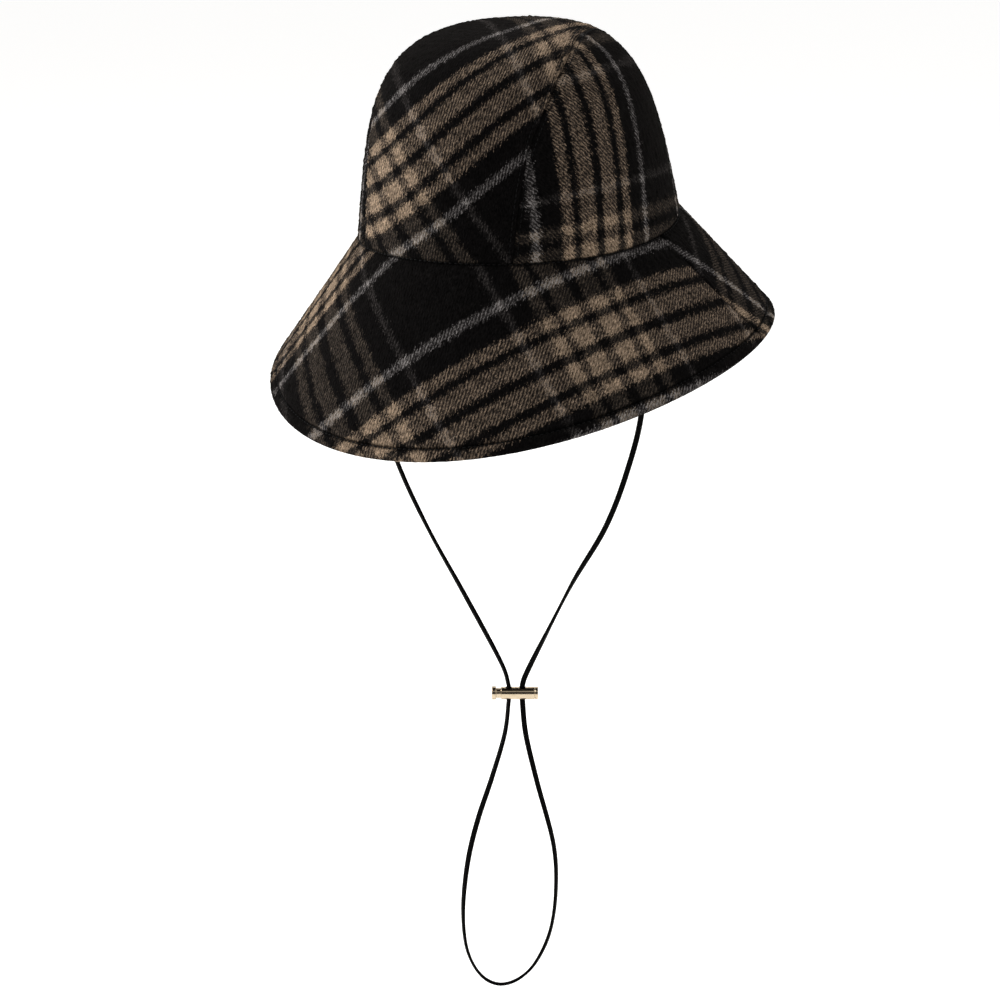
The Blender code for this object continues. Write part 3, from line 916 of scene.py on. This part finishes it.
def seam_relief(distance):
    """Height of the cloth by its distance from a seam: a dip, a groove and a raised strip."""
    dip = -SEAM_DIP * np.exp(-(distance / SEAM_RADIUS) ** 2)
    groove = -GROOVE_DEPTH * np.exp(-((distance - STITCH_INSET) / GROOVE_WIDTH) ** 2)
    raised = DOUBLE_CLOTH * (1 - smooth_step(TURNED_EDGE - 2 * mm, TURNED_EDGE + 1 * mm, distance))
    return dip + groove + raised


def pucker_relief(along_seam, distance, gathered, slant):
    """Short slanting wrinkles across a seam, where a curved edge was eased onto a straighter one.

    Two waves of different length keep them from looking even. They fade with the distance.
    """
    place = along_seam + slant * distance
    short, long = PUCKER_WAVES
    waves = 0.3 + 0.4 * np.sin(place * tau / short) + 0.3 * np.sin(place * tau / long + 1)
    return -PUCKER_DEPTH * np.maximum(waves, 0) ** 3 * gathered * np.exp(-(distance / PUCKER_REACH) ** 2)


def inside_relief(distance):
    """Thickness that the turned edges add inside, pressed open on both sides of a seam."""
    return INSIDE_EDGE * (1 - smooth_step(TURNED_EDGE - 0.8 * mm, TURNED_EDGE + 0.4 * mm, distance))


def fold_relief(distance):
    """A single turned edge, where the crown meets the brim."""
    return -FOLD_DIP * np.exp(-(distance / SEAM_RADIUS) ** 2)


def dense_ends(count, both=True):
    """Columns from 0 to 1 that crowd towards the ends, where the relief is."""
    even = np.linspace(0, 1, count)
    crowded = (1 - np.cos(pi * even)) / 2 if both else 1 - np.cos(pi / 2 * even)
    return 0.35 * even + 0.65 * crowded


# %% Crown panels


def wall(name, outer, inner, flat, crease_shade):
    """Two grids with the same plan, joined round their border into one closed wall."""
    rows, columns = outer.shape[:2]
    count = rows * columns
    index = np.arange(count).reshape(rows, columns)
    border = np.concatenate([index[:-1, 0], index[-1, :-1], index[:0:-1, -1], index[0, :0:-1]])
    following = np.roll(border, -1)
    rim = np.stack([border, following, following + count, border + count], axis=1)
    faces = np.vstack([quads(index), quads(index)[:, ::-1] + count, rim])
    points = np.vstack([outer.reshape(-1, 3), inner.reshape(-1, 3)])
    crease_shades = np.concatenate([crease_shade.ravel(), 0 * crease_shade.ravel()])
    return make_piece(name, tilted(points), faces, wool, np.vstack([flat.reshape(-1, 2)] * 2), crease_shades)


def at_distance(points, normals, walked, distance):
    """The line on a grid that keeps a distance from its first column, with its normals."""
    after = np.clip(np.sum(walked < distance, axis=1), 1, walked.shape[1] - 1)
    row = np.arange(len(points))
    low, high = walked[row, after - 1], walked[row, after]
    part = np.clip((distance - low) / (high - low + 1e-12), 0, 1)[:, None]
    line = points[row, after - 1] * (1 - part) + points[row, after] * part
    fits = walked[:, -1] > distance * 1.5
    return line[fits], normals[row, after][fits]


def gathered(seam):
    """Share of full puckering along a seam: only at the front, where it turns over the shoulder."""
    return smooth_step(66 * mm, 86 * mm, seam[..., 2]) * smooth_step(15 * mm, 40 * mm, -seam[..., 1])


def crown_panel(name, base, normal, from_seam, from_foot, seam, slant, place):
    """Make one panel from its smooth surface, seam and places on the sett, and return its outside."""
    relief = seam + fold_relief(from_foot)
    relief = relief + pucker_relief(along(base[:, :1], 0), from_seam, gathered(base[:, :1]), slant)
    bumps = nap_height(place) * smooth_step(0, NAP_CALM, np.minimum(from_seam, from_foot))
    outer = base + normal * (relief + bumps)[..., None]
    inner = base - normal * (CLOTH + inside_relief(from_seam) + 0.6 * nap_height(place + 40))[..., None]
    panel = wall(f"crown_{name}_cloth", outer, inner, place, crease_shade_of(relief))
    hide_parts(f"crown_{name}_panel")
    return outer


CROWN_ROWS = 400
net_rows = np.linspace(0, 1, CROWN_ROWS)
stitch_lines = []

columns = dense_ends(76)
base, normal = crown(*centre_plan(CROWN_ROWS, columns * 2 - 1))
walked, lengthways = along(base, 1), along(base, 0)
from_seam = np.minimum(walked, walked[:, -1:] - walked)
from_foot = np.minimum(lengthways, lengthways[-1:] - lengthways)
place = centre_sett(on_net(centre_flat, net_rows, columns))
outer = crown_panel("centre", base, normal, from_seam, from_foot, seam_relief(from_seam), PUCKER_SLANT, place)
for flip in (slice(None), slice(None, None, -1)):
    stitch_lines.append(at_distance(outer[:, flip], normal[:, flip], along(base[:, flip], 1), STITCH_INSET))

columns = dense_ends(84)
place = side_sett(on_net(side_flat, net_rows, columns))
for side, name in ((1, "left"), (-1, "right")):
    base, normal = crown(*side_plan(CROWN_ROWS, columns, side))
    walked = along(base, 1)
    seam = seam_relief(walked) * smooth_step(0, 6 * mm, walked[:, -1:])     # it dies out at the points
    outer = crown_panel(name, base, normal, walked, walked[:, -1:] - walked, seam, -PUCKER_SLANT, place)
    stitch_lines.append(at_distance(outer, normal, walked, STITCH_INSET))

# %% [markdown]
# ## The brim
#
# The brim is a skirt of straight lines from the crown's foot to its edge, long over the forehead
# and shorter at the back. A ruled surface like that can be unrolled exactly: each narrow strip
# between two lines is flat, and the strips are laid side by side. Its edge is turned under into a
# soft roll, with one line of stitching 5.5 mm in from it.

# %% Brim surface and its unrolled pattern
BRIM_REACH = (55.1 * mm, 52.5 * mm, 56.3 * mm)      # outwards: front, sides, back
BRIM_DROP = (94.3 * mm, 66.2 * mm, 62.6 * mm)       # down to the edge
BRIM_CLOTH = 3.0 * mm
BRIM_SEAM = (97, 105)                               # degrees from the front, at the crown and the edge
CROWN_STITCH = 2.2 * mm                             # from the crown down to a line of stitches
CROWN_GROOVE = 0.35 * mm
EDGE_STITCH = 5.5 * mm                              # from the edge in to the other one
EDGE_GROOVE = 1.3 * mm
EDGE_GROOVE_WIDTH = 0.9 * mm


def oval(angle, half_width, half_length, height):
    """Points round the hat, from the front towards the wearer's left."""
    return np.stack([half_width * np.sin(angle), -half_length * np.cos(angle), height + 0 * angle], -1)


def brim_lines(angle):
    """Where each line of the brim starts, on the crown, and ends, at the edge."""
    start = oval(angle, HALF[0], HALF[1], round_hat(OPENING_RISE, angle))
    reach = round_hat(BRIM_REACH, angle)
    return start, oval(angle, HALF[0] + reach, HALF[1] + reach, -round_hat(BRIM_DROP, angle))


def brim(angle, share, turn, lift):
    """Points of the brim's skin. The share goes down a line, and the turn goes round the rolled edge.

    The skin lies half the cloth's thickness from its middle layer: outside at turn 0, under it at
    turn pi. Lift is added outwards, where the outside is puffed or pulled in.
    """
    start, edge = brim_lines(angle)
    down = unit(edge - start)
    ahead = brim_lines(angle + 0.01)[1] - brim_lines(angle - 0.01)[1]
    out = unit(np.cross(down, ahead))
    out = out * np.sign(out[..., 2:])
    radius = BRIM_CLOTH / 2
    middle = start - out * radius + (edge - start - down * radius) * share[..., None]
    turn = turn[..., None]
    return middle + radius * (out * np.cos(turn) + down * np.sin(turn)) + out * lift[..., None], out


unroll_angle = np.radians(np.linspace(-180, 360, 2161))
start, edge = brim_lines(unroll_angle)
line = unit(edge - start)
chord = np.diff(start, axis=0)
chord_length = np.linalg.norm(chord, axis=1)
before = np.arccos(np.sum(line[:-1] * chord, axis=1) / chord_length)
after = np.arccos(np.sum(line[1:] * chord, axis=1) / chord_length)
heading = np.concatenate([[0], np.cumsum(before - after)])
heading = heading - np.interp(0, unroll_angle, heading) - pi / 2
step = heading[:-1] + before
steps = chord_length[:, None] * np.stack([np.cos(step), np.sin(step)], 1)
flat_start = np.vstack([[0, 0], np.cumsum(steps, axis=0)])
flat_start = flat_start - looked_up(0, unroll_angle, flat_start)
line_length = np.linalg.norm(edge - start, axis=1)
flat_edge = flat_start + line_length[:, None] * np.stack([np.cos(heading), np.sin(heading)], 1)
print("brim line lengths", np.round(line_length.min() / mm), "to", np.round(line_length.max() / mm), "mm")


def unrolled(angle, share):
    """The flat place of a point of the brim, in millimetres."""
    top, bottom = (looked_up(angle, unroll_angle, flat_line) for flat_line in (flat_start, flat_edge))
    return (top + (bottom - top) * share[..., None]) / mm


# %% Brim panels
ROLL_STEPS = 9
TUCK = 0.022                        # share of a line that goes on up inside the crown, where it is sewn
SKIN_ROWS = 74
BRIM_COLUMNS = 420


def brim_relief(share, from_seam, angle):
    """Lift of the outside: dips at the crown and the side seams, and a groove along the edge."""
    length = np.interp(angle, unroll_angle, line_length)
    from_crown = np.maximum(share * length, 0)
    from_edge = (1 - share) * length
    lift = fold_relief(from_crown)
    lift = lift - CROWN_GROOVE * np.exp(-((from_crown - CROWN_STITCH) / GROOVE_WIDTH) ** 2)
    lift = lift - EDGE_GROOVE * np.exp(-((from_edge - EDGE_STITCH) / EDGE_GROOVE_WIDTH) ** 2)
    return lift - SEAM_DIP * 0.8 * np.exp(-(from_seam / SEAM_RADIUS) ** 2)


even = np.linspace(0, 1, SKIN_ROWS)
down_share = 0.55 * even + 0.45 * (1 - np.cos(pi * even)) / 2
down_share = down_share * (1 + TUCK) - TUCK
levels = np.concatenate([
    np.stack([down_share[:-1], 0 * down_share[:-1]], 1),
    np.stack([np.ones(ROLL_STEPS), np.linspace(0, pi, ROLL_STEPS)], 1),
    np.stack([down_share[-2::-1], pi + 0 * down_share[:-1]], 1),
])
at_crown, at_edge = np.radians(BRIM_SEAM)
for name, middle, sett in (("front", 0, front_brim_sett), ("back", pi, back_brim_sett)):
    share, turn = levels[:, :1], levels[:, 1:]
    half = np.abs(middle - (at_crown + (at_edge - at_crown) * share))
    angle = middle + half * (dense_ends(BRIM_COLUMNS) * 2 - 1)[None]
    share, turn = share + 0 * angle, turn + 0 * angle
    skin, out = brim(angle, share, turn, 0 * angle)
    walked = along(skin, 1)
    from_seam = np.minimum(walked, walked[:, -1:] - walked)
    relief = brim_relief(share, from_seam, angle) * (turn < 0.1)
    round_edge = turn * BRIM_CLOTH / 2 / line_length.mean()
    place = sett(unrolled(angle, np.where(turn < 3, share + round_edge, 2 + round_edge - share)))
    skin, out = brim(angle, share, turn, relief + nap_height(place) * smooth_step(0, NAP_CALM, from_seam))
    index = np.arange(angle.size).reshape(angle.shape)
    half_way = len(levels) // 2
    caps = [quads(np.stack([index[:half_way, k], index[:half_way:-1, k]])) for k in (0, -1)]
    faces = np.vstack([quads(index, wrap=True), *caps])
    panel = make_piece(f"brim_{name}_cloth", tilted(skin), faces, wool, place, crease_shade_of(relief))
    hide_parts(f"brim_{name}_panel")
    outside = slice(0, SKIN_ROWS)
    face, normals = skin[outside].swapaxes(0, 1), out[outside].swapaxes(0, 1)
    stitch_lines.append(at_distance(face, normals, along(face, 1), CROWN_STITCH))
    stitch_lines.append(at_distance(face[:, ::-1], normals[:, ::-1], along(face[:, ::-1], 1), EDGE_STITCH))

# %% [markdown]
# ## Topstitching
#
# Black thread holds the seams down, in stitches 2.5 mm long with one every 3 mm. A single stitch is a
# short, slightly sunk sausage of thread. All of them are made at once: the stitch lines are cut into
# equal lengths, and one small grid of points is stretched over every length.

# %% Stitches
STITCH_STEP = 3.0 * mm
STITCH_LENGTH = 2.5 * mm
THREAD_RADIUS = 0.32 * mm

thread, tree, shader = new_material("black polyester thread")
place = add(tree, "TexCoord").outputs["Object"]
twist = add(tree, "TexNoise", Vector=place, Scale=1 / (0.4 * mm), Detail=2.0)
tint = add(tree, "MixRGB", Fac=twist, Color1=linear("#040404"), Color2=linear("#0C0B0B"))
connect(tree, shader, Base_Color=tint, Roughness=0.7, Specular_IOR_Level=0.1)


def stitches(line, normals, rings=6, sides=6):
    """Points of every stitch on a line: a tapered tube from its start to its end, arched over the cloth."""
    walked = along(line, 0)
    begin = np.arange(STITCH_STEP, walked[-1] - STITCH_STEP, STITCH_STEP)
    start, end = (looked_up(place, walked, line) for place in (begin, begin + STITCH_LENGTH))
    up = unit(looked_up(begin, walked, normals))
    ahead = unit(end - start)
    side = unit(np.cross(ahead, up))
    t = np.linspace(0, 1, rings)
    arch = THREAD_RADIUS * (1.6 * np.sin(pi * t) - 0.7)
    thick = THREAD_RADIUS * np.sqrt(1 - (2 * t - 1) ** 4 * 0.98)
    middle = start[:, None] + (end - start)[:, None] * t[None, :, None] + up[:, None] * arch[None, :, None]
    a = np.linspace(0, tau, sides, endpoint=False)
    ring = side[:, None] * np.cos(a)[None, :, None] + up[:, None] * np.sin(a)[None, :, None]
    return middle[:, :, None] + thick[None, :, None, None] * ring[:, None]


tubes = np.concatenate([stitches(line, normals) for line, normals in stitch_lines])
count, rings, sides = tubes.shape[:3]
one = np.arange(rings * sides).reshape(rings, sides)
one_tube = quads(one.T, wrap=True)
one_end = np.array([[0, 1, 2, 3], [0, 3, 4, 5]])
pattern_of_one = np.vstack([one_tube, one_end, one_end + (rings - 1) * sides])
faces = (np.arange(count)[:, None, None] * rings * sides + pattern_of_one[None]).reshape(-1, 4)
make_piece("topstitching", tilted(tubes), faces, thread)
print("stitches:", count)

# %% Sizes, and done
dressed_box = [list(corner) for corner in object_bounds()]
for name, box in (("solid", solid_box), ("dressed", dressed_box)):
    print(name, "size in mm:", [round((high - low) / mm, 1) for low, high in zip(*box)])
